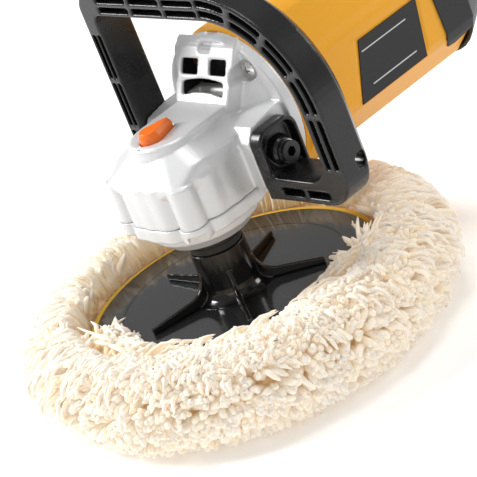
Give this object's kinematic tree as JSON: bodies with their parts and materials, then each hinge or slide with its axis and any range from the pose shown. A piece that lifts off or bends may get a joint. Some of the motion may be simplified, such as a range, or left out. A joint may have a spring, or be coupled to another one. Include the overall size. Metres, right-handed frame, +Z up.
{
  "type": "rotary polisher",
  "caption": "Hand-held rotary polisher with a wool pad on a ribbed backing disc, a bevel gear head, a loop handle, a motor housing and a rear handle with trigger.",
  "frame": {"origin": "centre of the pad's flat working face, on the spindle axis", "axes": "+Z up the spindle axis away from the work, +Y back along the motor to the rear handle, -Y the nose, +X the tool's left side, where the loop handle bulges out"},
  "size_m": [0.256, 0.477, 0.228],
  "materials": {
    "wool": "cut wool pile, cream",
    "skin": "woven backing cloth",
    "foam": "mustard foam and hook layer",
    "disc": "glossy black moulding",
    "steel": "turned and ground steel",
    "gear_steel": "hardened gear steel, oiled",
    "case": "silver-white painted die casting",
    "screws": "zinc and chrome plated screws",
    "black_bolt": "black oxide socket bolt",
    "loop": "black glass-filled nylon",
    "orange": "orange moulded plastic",
    "yellow": "amber yellow moulded plastic, satin",
    "label": "blank black label",
    "soft_grip": "dark grey soft overmould",
    "black_plastic": "black moulded plastic",
    "copper": "enamelled copper winding",
    "brass": "brass",
    "carbon": "carbon brush",
    "lamination": "stacked electrical steel",
    "rubber": "black rubber"
  },
  "bodies": {
    "housing": {"bearing_flange": "case", "spindle_bearing": "steel", "top_bearing": "steel", "flange_screws": "screws", "gear_case": "case", "housing_screws": "screws", "handle_bolts": "black_bolt", "bolt_washers": "screws", "lock_spring": "steel", "motor_housing": "yellow", "side_plates": "label", "side_grips": "soft_grip", "air_baffle": "black_plastic", "stator": "lamination", "field_coils": "copper", "front_bearing": "steel", "rear_bearing": "steel", "brush_holders": "brass", "brushes": "carbon", "brush_caps": "black_plastic", "handle_left": "black_plastic", "handle_right": "black_plastic", "grip_left": "soft_grip", "grip_right": "soft_grip", "handle_screws": "screws", "switch_module": "black_plastic", "trigger_pin": "steel", "trigger_spring": "steel", "dial_pin": "steel", "cord_gland": "rubber"},
    "spindle": {"wool_bonnet": "wool", "wool_backing": "skin", "foam_layer": "foam", "backing_disc": "disc", "backing_hub": "disc", "hub_insert": "steel", "spindle": "steel", "spindle_seal": "rubber", "crown_gear": "gear_steel", "gear_key": "steel", "circlip": "gear_steel"},
    "rotor": {"armature_shaft": "steel", "pinion": "gear_steel", "armature_core": "lamination", "armature_coils": "copper", "commutator": "copper", "fan": "black_plastic"},
    "lock": {"lock_button": "orange", "lock_pin": "steel"},
    "loop": {"loop_handle": "loop"},
    "trigger": {"trigger": "black_plastic"},
    "lock_on": {"lock_on_button": "orange"},
    "dial": {"speed_dial": "black_plastic"}
  },
  "joints": [
    {"name": "spindle_spin", "type": "hinge", "parent": "housing", "child": "spindle", "pos_m": [0, 0, 0.1], "axis": [0, 0, 1], "continuous": true},
    {"name": "motor_spin", "type": "hinge", "parent": "housing", "child": "rotor", "pos_m": [0, 0.1, 0.132], "axis": [0, 1, 0], "continuous": true},
    {"name": "lock_press", "type": "slide", "parent": "housing", "child": "lock", "axis": [0, 0, -1], "range_m": [0, 0.004], "stiffness_N_per_m": 600, "springref_m": -0.002, "deforming": ["lock_spring"]},
    {"name": "loop_tilt", "type": "hinge", "parent": "housing", "child": "loop", "pos_m": [0, 0.029, 0.121], "axis": [1, 0, 0], "range_deg": [-6, 10]},
    {"name": "trigger_squeeze", "type": "hinge", "parent": "housing", "child": "trigger", "pos_m": [0, 0.242, 0.104], "axis": [1, 0, 0], "range_deg": [0, 6], "stiffness_Nm_per_rad": 1.2, "springref_deg": -8.59, "deforming": ["trigger_spring"]},
    {"name": "lock_on_press", "type": "slide", "parent": "housing", "child": "lock_on", "axis": [-1, 0, 0], "range_m": [0, 0.002], "stiffness_N_per_m": 300, "springref_m": -0.002},
    {"name": "dial_turn", "type": "hinge", "parent": "housing", "child": "dial", "pos_m": [0, 0.318, 0.15], "axis": [1, 0, 0], "range_deg": [-135, 135]}
  ],
  "couplings": [
    {"joint": "motor_spin", "follows": "spindle_spin", "ratio": 4.2222}
  ]
}
